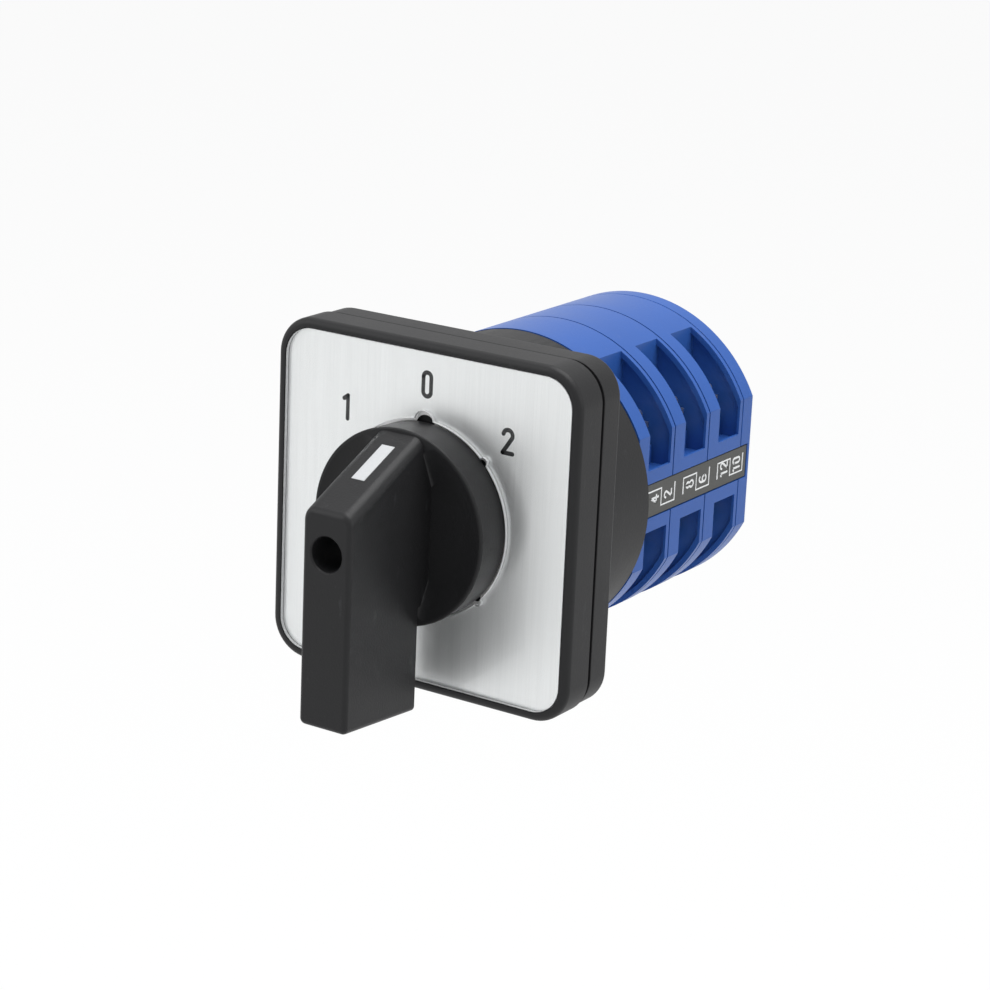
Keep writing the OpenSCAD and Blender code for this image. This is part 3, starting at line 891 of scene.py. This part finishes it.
def dial_blank(name, half, front, back, hole):
    """A rounded square with the handle's hole and the notches around it."""
    size = sizes()
    blank = rounded_plate(name, half - 0.05 * MM, size.plate_corner - size.border, front, back)
    start, end = front - MM, back + MM
    cutter = drum("hole", hole, start, end, 192)
    fuse(cutter, drum("notch", 2 * MM, start, end, 40, (0, hole - 0.4 * MM)))
    for turn in (45, 135, 225, 315):
        a = math.radians(turn)
        fuse(cutter, drum("notch", 0.8 * MM, start, end, 24,
                          (hole * math.sin(a), hole * math.cos(a))))
    return cut(blank, cutter)


def in_hole(face, reach):
    """Whether a face belongs to the wall around the handle's hole."""
    return abs(face.normal.y) < 0.9 and math.hypot(face.center.x, face.center.z) < reach


class SWITCH_OT_dial(bpy.types.Operator):
    """Models the brushed dial plate and prints 1, 0 and 2 on it"""
    bl_idname = "switch.dial"
    bl_label = "Dial"

    def execute(self, context):
        dial = dial_blank("dial_sheet", DIAL_HIGH.x, DIAL_LOW.y, DIAL_HIGH.y, SKIRT_R - 0.4 * MM)
        flatten(soften(dial, 0.06 * MM, 2, 50))
        finished(dial, "dial", "housing", "dial_aluminium", "dial_plate")
        faces_like(dial, "dial_rim", lambda face: in_hole(face, 22 * MM))
        height = sizes().digit_height
        radius = 24.2 * MM
        digits = []
        for figure, turn in (("1", -45), ("0", 0), ("2", 45)):
            a = math.radians(turn)
            place = on_front(radius * math.sin(a), radius * math.cos(a), DIAL_LOW.y)
            digits += digit_strokes(figure, height, 0.8 * MM, 0.06 * MM, place)
        numbers = merged("dial_numbers", digits)
        finished(smooth(numbers), "ink", "housing", "dial_aluminium")
        return {"FINISHED"}


class SWITCH_OT_cover(bpy.types.Operator):
    """Models the clear cover over the dial; its cut edges are painted near-white, partly as frost
    and partly as painted highlight
    """
    bl_idname = "switch.cover"
    bl_label = "Clear cover"

    def execute(self, context):
        back = COVER_HIGH.y - 0.08 * MM
        cover = dial_blank("dial_window", COVER_HIGH.x, COVER_LOW.y, back, SKIRT_R + 0.5 * MM)
        flatten(soften(cover, 0.15 * MM, 3, 50))
        finished(cover, "clear", "housing", "clear_plastic", "clear_cover")
        # The hole's and the notches' edge faces get the near-white frost and painted highlight
        faces_like(cover, "edge_frost_and_highlight", lambda face: abs(face.normal.y) < 0.9)
        return {"FINISHED"}


# ---- Head ----

class SWITCH_OT_head(bpy.types.Operator):
    """Models the head: square rear flange, round housing and the cup for the detent"""
    bl_idname = "switch.head"
    bl_label = "Head"

    def execute(self, context):
        size = sizes()
        groove = HEAD_LOW.y + 0.6 * MM
        flange_back = 6.2 * MM
        flange = rounded_plate("head_shell", FLANGE_HALF, size.plate_corner - 0.3 * MM, groove,
                               flange_back, 14)
        round_edges(flange, on_plane(groove), 0.2 * MM, 2)
        round_edges(flange, on_plane(flange_back), 0.9 * MM, 4)
        fuse(flange, rounded_plate("inner_edge", FLANGE_HALF - 0.7 * MM,
                                   size.plate_corner - MM, HEAD_LOW.y, 2 * MM, 14))
        fuse(flange, drum("round", HEAD_R, 1 * MM, HEAD_HIGH.y, 192))
        cup = HEAD_R - 3 * MM
        cut(flange, drum("cup", cup, 3.2 * MM, 0.05, 128),
            drum("rim", cup + 0.6 * MM, HEAD_HIGH.y - 2 * MM, 0.05, 128),
            drum("bore", HUB_BORE, -0.01, 0.01, 64),
            *screw_ways(2.25 * MM, -0.01, 0.01, 40))
        for x in (-ROD_X, ROD_X):
            boss = drum("boss", 4 * MM, 3 * MM, HEAD_HIGH.y - 2 * MM, 48, (x, 0))
            cut(boss, drum("rod_way", ROD_WAY, 5 * MM, 0.05, 32, (x, 0)),
                drum("insert_way", 2.9 * MM, 5 * MM, 12 * MM, 32, (x, 0)))
            fuse(flange, boss)
        soften(flange, 0.2 * MM, 2, 40)
        finished(flange, "black", "housing", "moulded_black", "head_housing")
        return {"FINISHED"}


# ---- Contact stages ----

def body_disc(name, start, end, inset=0.0):
    disc = drum(name, BODY_R - inset, start, end, 192)
    flat = FLAT_X - inset
    return keep_inside(disc, block("flats", (-flat, start - MM, -0.04), (flat, end + MM, 0.04)))


def body_with_seam(name, start, end):
    """The body's section with a shallow groove in front, where it meets the piece before."""
    disc = body_disc(name, start + SEAM, end)
    return fuse(disc, body_disc("neck", start, start + MM, 0.6 * MM))


def mirrored_block(name, low, high, x, z=1):
    """A block between two corners, mirrored by the signs x and z."""
    first = (low[0] * x, low[1], low[2] * z)
    second = (high[0] * x, high[1], high[2] * z)
    return block(name, [min(pair) for pair in zip(first, second)],
                 [max(pair) for pair in zip(first, second)])


def strip_grooves(start, end):
    half = (STRIP_HIGH.z - STRIP_LOW.z) / 2 + 0.2 * MM
    return [mirrored_block("groove", (STRIP_LOW.x, start, -half), (PAST, end, half), side)
            for side in (-1, 1)]


def stage_shell():
    """The first stage's housing, with four windows, four terminal rooms and the contact room."""
    size = sizes()
    y0 = STAGE_LOW.y
    y1 = STAGE_HIGH.y
    inside = y0 + WALL
    shell = body_with_seam("stage_shell", y0, y1)
    contact_top = 18.85 * MM
    room = drum("cam_room", 11.6 * MM, inside, y1 + MM, 96)
    fuse(room, block("channel", (-4.2 * MM, inside, -26.3 * MM), (4.2 * MM, y1 + MM, 26.3 * MM)))
    for z0, z1 in ((10.8 * MM, contact_top), (-contact_top, -10.8 * MM)):
        fuse(room, block("bridge_room", (-10.6 * MM, inside, z0), (10.6 * MM, y1 + MM, z1)))
    cut(shell, room, drum("bore", HUB_BORE, y0 - MM, y1 + MM, 64))
    window_x = 13.9 * MM
    middle_y = y0 + MID
    for x, z in quadrants():
        deep = mirrored_block("deep", (window_x, inside, 4.9 * MM),
                              (FLAT_X - 0.5 * MM, y1 + MM, FAR), x, z)
        keep_inside(deep, drum("inner", BODY_R - 1.0 * MM, y0, y1 + 2 * MM, 192))
        opening = mirrored_block("window", (window_x, y0 + size.rib, 5.9 * MM),
                                 (FAR, y1 - size.lip, FAR), x, z)
        slot = mirrored_block("slot", (9.6 * MM, middle_y - 2.65 * MM, 10.95 * MM),
                              (14.2 * MM, middle_y + 2.65 * MM, 12.05 * MM), x, z)
        cut(shell, deep, opening, slot)
    for x in (-ROD_X, ROD_X):
        cut(shell, drum("rod_way", ROD_WAY, y0 - MM, y1 + MM, 32, (x, 0)))
    cut(shell, *strip_grooves(y0 - MM, y1 + MM))
    for x, z in quadrants():
        fuse(shell, mirrored_block("shelf", (14.5 * MM, inside - 0.3 * MM, 4.7 * MM),
                                   (21.5 * MM, y1 - size.lip, 8.5 * MM), x, z))
    soften(shell, size.edge, 2, 40)
    return shell


class SWITCH_OT_stages(bpy.types.Operator):
    """Models one blue contact stage and copies it for the others"""
    bl_idname = "switch.stages"
    bl_label = "Contact stages"

    def execute(self, context):
        for stage, shell in zip(STAGES, copies_along(stage_shell(), "stage_shell")):
            finished(shell, "blue", "housing", "moulded_blue", f"stage_housing_{stage}")
        return {"FINISHED"}


class SWITCH_OT_back_plate(bpy.types.Operator):
    """Models the blue back plate with its screw wells"""
    bl_idname = "switch.back_plate"
    bl_label = "Back plate"

    def execute(self, context):
        y0, y1 = BACK_LOW.y, BACK_HIGH.y
        plate = body_with_seam("rear_cap", y0, y1)
        cut(plate, drum("bearing", HUB_BORE, y0 - MM, y0 + 1.4 * MM, 64))
        for x in (-ROD_X, ROD_X):
            cut(plate, drum("rod_way", ROD_WAY, y0 - MM, y1 + MM, 32, (x, 0)),
                drum("well", 3.6 * MM, y1 - 2.6 * MM, y1 + MM, 48, (x, 0)))
        cut(plate, *strip_grooves(y0 - MM, STRIP_HIGH.y + 0.2 * MM))
        soften(plate, 0.3 * MM, 3, 40)
        finished(plate, "blue", "housing", "moulded_blue", "back_plate")
        return {"FINISHED"}


class SWITCH_OT_tie_screws(bpy.types.Operator):
    """Models the two long screws that hold the stack together"""
    bl_idname = "switch.tie_screws"
    bl_label = "Tie screws"

    def execute(self, context):
        low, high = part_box("tie_screws")
        y1 = high.y
        head = drum("tie_rods", 3.4 * MM, y1 - 2.4 * MM, y1, 64, (ROD_X, 0))
        round_edges(head, lambda e: abs(middle(e).y - y1) < 1e-5, 0.8 * MM, 4)
        cut(head, *cross_recess((ROD_X, y1, 0), 1, 2.2 * MM, 1.4 * MM, 0.9 * MM))
        fuse(head, drum("rod", 1.9 * MM, low.y, y1 - 2.2 * MM, 32, (ROD_X, 0)))
        soften(head, 0.08 * MM)
        twin = copy_of(head, "rod_twin", mirror_axis=0)
        rods = merged("tie_rods", [head, twin])
        finished(rods, "zinc", "housing", "zinc_steel", "tie_screws")
        return {"FINISHED"}


# ---- Number strips ----

def bracket(side, start):
    """The line that leads a stage's two numbers to the lower and the upper terminal."""
    pitch = 4.8 * MM
    high = 1.65 * MM
    points = [(-pitch, -high * 0.75), (-pitch, high), (0, high), (0, -high), (pitch, -high),
              (pitch, high)]
    turn = Matrix(((0, 0, side, 0), (1, 0, 0, 0), (0, 1, 0, 0), (0, 0, 0, 1)))
    place = Matrix.Translation((side * PRINT_X, start + 9.4 * MM, 0)) @ turn
    return stroke(points, STRIP_LINE, STRIP_FILM, place)


class SWITCH_OT_strips(bpy.types.Operator):
    """Models the two side strips with their terminal numbers"""
    bl_idname = "switch.strips"
    bl_label = "Number strips"

    def execute(self, context):
        for side, hand in ((1, "right"), (-1, "left")):
            low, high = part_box(f"number_strip_{hand}")
            strip = block(f"strip_{hand}", low, high)
            soften(strip, 0.1 * MM)
            finished(strip, "strip", "housing", "strip_black", f"number_strip_{hand}")
            marks = []
            for stage in STAGES:
                start = stage_start(stage)
                upper = 4 * stage - 2 if side > 0 else 4 * stage - 3
                lower = upper + 2
                marks.append(bracket(side, start))
                for number, shift in ((lower, 7.0), (upper, 11.8)):
                    place = on_flank(side, start + shift * MM)
                    marks += digit_strokes(str(number), 2.6 * MM, STRIP_LINE, STRIP_FILM, place)
            prints = merged(f"strip_numbers_{hand}", marks)
            finished(smooth(prints), "paint", "housing", "strip_black")
        return {"FINISHED"}


# ---- Terminals ----

TERMINAL_X = 18 * MM
STRIP_TOP = 12 * MM


def terminal_strip(y):
    """Contact strip with its threaded boss and its round silver tip."""
    half = 2.6 * MM
    strip = block("strip", (6.1 * MM, y - half, STRIP_TOP - MM), (21.5 * MM, y + half, STRIP_TOP))
    round_edges(strip, lambda e: along(e, 2) and middle(e).x > 20 * MM, 0.9 * MM, 4)
    fuse(strip, post("boss", 3.05 * MM, (TERMINAL_X, y, 8.6 * MM), 2.6 * MM))
    for step in (-1, 1):
        groove_x = TERMINAL_X + 2.9 * MM + step * 0.35 * MM
        cut(strip, block("serration", (groove_x - 0.1 * MM, y - half - MM, STRIP_TOP - 0.12 * MM),
                         (groove_x + 0.1 * MM, y + half + MM, STRIP_TOP + MM)))
    cut(strip, post("thread", 1.8 * MM, (TERMINAL_X, y, 8 * MM), 6 * MM, 32))
    fuse(strip, post("tip", 1.8 * MM, (7.9 * MM, y, STRIP_TOP - 0.2 * MM), 0.8 * MM, 40))
    return soften(strip, 0.07 * MM)


def clamp_washer(y):
    """Square clamp washer with turned-down ends."""
    half = 3.2 * MM
    washer = block("washer", (TERMINAL_X - half, y - half, STRIP_TOP),
                   (TERMINAL_X + half, y + half, STRIP_TOP + MM))
    round_edges(washer, lambda e: along(e, 2), 0.5 * MM, 3)
    cut(washer, post("hole", 1.95 * MM, (TERMINAL_X, y, STRIP_TOP - MM), 4 * MM, 32))
    cut(washer, block("arch", (TERMINAL_X - half - MM, y - 1.9 * MM, STRIP_TOP - MM),
                      (TERMINAL_X - 2.2 * MM, y + 1.9 * MM, STRIP_TOP + 0.25 * MM)),
        block("arch", (TERMINAL_X + 2.2 * MM, y - 1.9 * MM, STRIP_TOP - MM),
              (TERMINAL_X + half + MM, y + 1.9 * MM, STRIP_TOP + 0.25 * MM)))
    return soften(washer, 0.1 * MM)


def terminal_screw(y):
    """Pan-head terminal screw with a cross recess and turned threads below the strip."""
    head_foot = STRIP_TOP + MM
    head_top = head_foot + 2.3 * MM
    head = post("screw", 3 * MM, (TERMINAL_X, y, head_foot), 2.3 * MM, 48)
    round_edges(head, lambda e: abs(middle(e).z - head_top) < 1e-5, 0.7 * MM, 4)
    cut(head, *cross_recess((TERMINAL_X, y, head_top), 2, 2 * MM, 1.3 * MM, 0.9 * MM))
    shank = post("shank", 1.55 * MM, (TERMINAL_X, y, 8.8 * MM), 4.4 * MM, 32)
    parts = [post("thread", 1.55 * MM, (TERMINAL_X, y, (8.9 + 0.5 * k) * MM), 0.25 * MM, 32,
                  cone=1.75 * MM) for k in range(7)]
    fuse(head, fuse(shank, *parts))
    return soften(head, 0.06 * MM, 2, 50)


def at_four_corners(piece, name):
    """The piece with its three mirror images, joined."""
    right_low = copy_of(piece, "low", mirror_axis=2)
    left_high = copy_of(piece, "left", mirror_axis=0)
    left_low = copy_of(right_low, "left_low", mirror_axis=0)
    return merged(name, [piece, right_low, left_high, left_low])


class SWITCH_OT_terminals(bpy.types.Operator):
    """Models a stage's terminals, clamp washers and screws and copies them for the others"""
    bl_idname = "switch.terminals"
    bl_label = "Terminals"

    def execute(self, context):
        y = STAGE_LOW.y + MID
        kinds = (
            (terminal_strip, "terminal_strips", "brass", "brass", "terminals"),
            (clamp_washer, "wire_clamps", "zinc", "zinc_steel", "clamp_washers"),
            (terminal_screw, "clamp_screws", "zinc", "zinc_steel", "terminal_screws"),
        )
        for maker, name, finish, slot, node in kinds:
            first = at_four_corners(maker(y), f"{name}_1")
            for stage, piece in zip(STAGES, copies_along(first, name)):
                finished(piece, finish, "housing", slot, f"{node}_{stage}")
                if node == "terminals":
                    faces_like(piece, "silver", lambda face: abs(face.center.x) < 9.8 * MM
                               and abs(face.center.z) > STRIP_TOP + 0.05 * MM)
        return {"FINISHED"}


# ---- Inner parts ----

WIRE_SIDES = 10


def coil(name, radius, wire, low, high, turns, centre):
    """A compression spring along Z, made by spinning a wire's section; its two ends are open."""
    deselect()
    bpy.ops.mesh.primitive_circle_add(
        vertices=WIRE_SIDES, radius=wire, location=(centre[0] + radius, centre[1], low),
        rotation=(QUARTER, 0, 0))
    piece = settle(named(name))
    steps = 28 * turns
    edit(piece, "VERT", lambda v: True, lambda: bpy.ops.mesh.spin(
        steps=steps, dupli=False, angle=2 * math.pi * turns,
        center=(centre[0], centre[1], low), axis=(0, 0, 1)))
    for index, vertex in enumerate(piece.data.vertices):
        ring = min(index // WIRE_SIDES, steps)
        vertex.co.z += (high - low) * ring / steps
    return piece


class SWITCH_OT_springs(bpy.types.Operator):
    """Models the return springs, one coil in each spring's box of the frame"""
    bl_idname = "switch.springs"
    bl_label = "Return springs"

    def execute(self, context):
        wire = 0.3 * MM
        for stage in STAGES:
            for side in SIDES:
                node = f"return_spring_{stage}_{side}"
                low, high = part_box(node)
                centre = ((low.x + high.x) / 2, (low.y + high.y) / 2)
                spring = coil(f"coil_{stage}_{side}", 2.6 * MM, wire, low.z + wire,
                              high.z - wire, 4, centre)
                smooth(tidy(spring), 60)
                spring.data.materials.append(finish_of("steel"))
                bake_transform(spring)
                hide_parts(node)
        return {"FINISHED"}


INNER_FINISHES = {
    "cam_": "nylon", "plunger_": "nylon", "bridge_contact_": "brass", "detent_wheel": "grey",
    "detent_springs": "steel", "stop_pins": "zinc", "head_back_plate": "black",
    "square_shaft": "zinc", "tie_inserts": "brass",
}


class SWITCH_OT_inner_parts(bpy.types.Operator):
    """Gives the parts inside their finishes: shaft, cams, plungers, bridges and detent"""
    bl_idname = "switch.inner_parts"
    bl_label = "Inner parts"

    def execute(self, context):
        for name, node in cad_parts.items():
            for start, finish in INNER_FINISHES.items():
                if name.startswith(start):
                    wear(node, finish)
        return {"FINISHED"}


# ---- Stage set: floor, light and camera ----

def seen_directly(tree):
    """One for what the camera, a gloss or a clear piece sees, and zero for light that falls on."""
    path = tree.nodes.new("ShaderNodeLightPath")
    total = path.outputs["Is Camera Ray"]
    for kind in ("Is Glossy Ray", "Is Transmission Ray"):
        add = tree.nodes.new("ShaderNodeMath")
        add.operation = "ADD"
        add.use_clamp = True
        tree.links.new(total, add.inputs[0])
        tree.links.new(path.outputs[kind], add.inputs[1])
        total = add.outputs[0]
    return total


def make_world():
    world = bpy.data.worlds.new("studio")
    bpy.context.scene.world = world
    world.use_nodes = True
    tree = world.node_tree
    tree.nodes.clear()
    seen = seen_directly(tree)
    light = tree.nodes.new("ShaderNodeBackground")
    light.inputs["Color"].default_value = (0.94, 0.97, 1, 1)
    light.inputs["Strength"].default_value = 0.36
    white = tree.nodes.new("ShaderNodeBackground")
    white.inputs["Strength"].default_value = 1.0
    mix = tree.nodes.new("ShaderNodeMixShader")
    output = tree.nodes.new("ShaderNodeOutputWorld")
    tree.links.new(seen, mix.inputs[0])
    tree.links.new(light.outputs[0], mix.inputs[1])
    tree.links.new(white.outputs[0], mix.inputs[2])
    tree.links.new(mix.outputs[0], output.inputs["Surface"])


def make_floor():
    deselect()
    bpy.ops.mesh.primitive_plane_add(size=6, location=(0, 0, CAD_BOX[0][2] - 0.16))
    floor = settle(named("studio_floor"))
    paint = Paint("floor_paper")
    paper = paint.node("ShaderNodeBsdfDiffuse", inputs={"Color": (0.92, 0.92, 0.92, 1)})
    glow = paint.node("ShaderNodeEmission", inputs={"Color": (1, 1, 1, 1), "Strength": 1.0})
    seen = Wire(paint, seen_directly(paint.tree))
    paint.finish(paint.node("ShaderNodeMixShader", inputs={0: seen * 0.93, 1: paper, 2: glow}))
    floor.data.materials.append(paint.material)


def area_light(name, place, target, size, power):
    deselect()
    bpy.ops.object.light_add(type="AREA", location=place)
    lamp = bpy.context.view_layer.objects.active
    lamp.name = name
    lamp.data.size = size
    lamp.data.energy = power
    lamp.rotation_euler = (Vector(target) - Vector(place)).to_track_quat("-Z", "Y").to_euler()


class SWITCH_OT_stage_set(bpy.types.Operator):
    """Sets up the pale floor, the soft studio light and the camera"""
    bl_idname = "switch.stage_set"
    bl_label = "Stage set"

    def execute(self, context):
        scene = bpy.context.scene
        scene.view_settings.view_transform = "Standard"
        make_world()
        make_floor()
        area_light("overhead", (0.1, 0.05, 0.9), (0, 0.02, 0), 0.8, 9.5)
        area_light("front_left", (-0.7, -0.7, 0.55), (0, 0, 0), 0.7, 3.2)
        area_light("right_side", (0.9, 0.1, 0.3), (0, 0.03, 0), 0.6, 1.7)
        deselect()
        turn = (math.radians(73.278), math.radians(-2.381), math.radians(33.570))
        bpy.ops.object.camera_add(location=(0.2797, -0.4166, 0.1536), rotation=turn)
        camera = bpy.context.view_layer.objects.active
        camera.name = "main_camera"
        camera.data.sensor_width = 36
        camera.data.lens = 107.31
        camera.data.clip_start = 0.01
        scene.camera = camera
        return {"FINISHED"}


# ---- Add-on ----

class SWITCH_PT_pieces(bpy.types.Panel):
    bl_idname = "SWITCH_PT_pieces"
    bl_label = "Transfer switch"
    bl_space_type = "VIEW_3D"
    bl_region_type = "UI"
    bl_category = "Switch"

    def draw(self, context):
        for operator in OPERATORS:
            self.layout.operator(operator.bl_idname)


OPERATORS = (
    SWITCH_OT_stage_set, SWITCH_OT_handle, SWITCH_OT_pointer, SWITCH_OT_handle_screw,
    SWITCH_OT_front_plate, SWITCH_OT_dial, SWITCH_OT_cover, SWITCH_OT_head, SWITCH_OT_stages,
    SWITCH_OT_back_plate, SWITCH_OT_tie_screws, SWITCH_OT_strips, SWITCH_OT_terminals,
    SWITCH_OT_springs, SWITCH_OT_inner_parts,
)
CLASSES = (SwitchSizes, SwitchColours, SWITCH_PT_pieces) + OPERATORS


def register():
    for made in CLASSES:
        bpy.utils.register_class(made)
    bpy.types.Scene.switch_sizes = bpy.props.PointerProperty(type=SwitchSizes)
    bpy.types.Scene.switch_colours = bpy.props.PointerProperty(type=SwitchColours)


def unregister():
    del bpy.types.Scene.switch_sizes
    del bpy.types.Scene.switch_colours
    for made in reversed(CLASSES):
        bpy.utils.unregister_class(made)


def main():
    register()
    for operator in OPERATORS:
        group, name = operator.bl_idname.split(".")
        getattr(getattr(bpy.ops, group), name)()


if __name__ == "__main__":
    main()
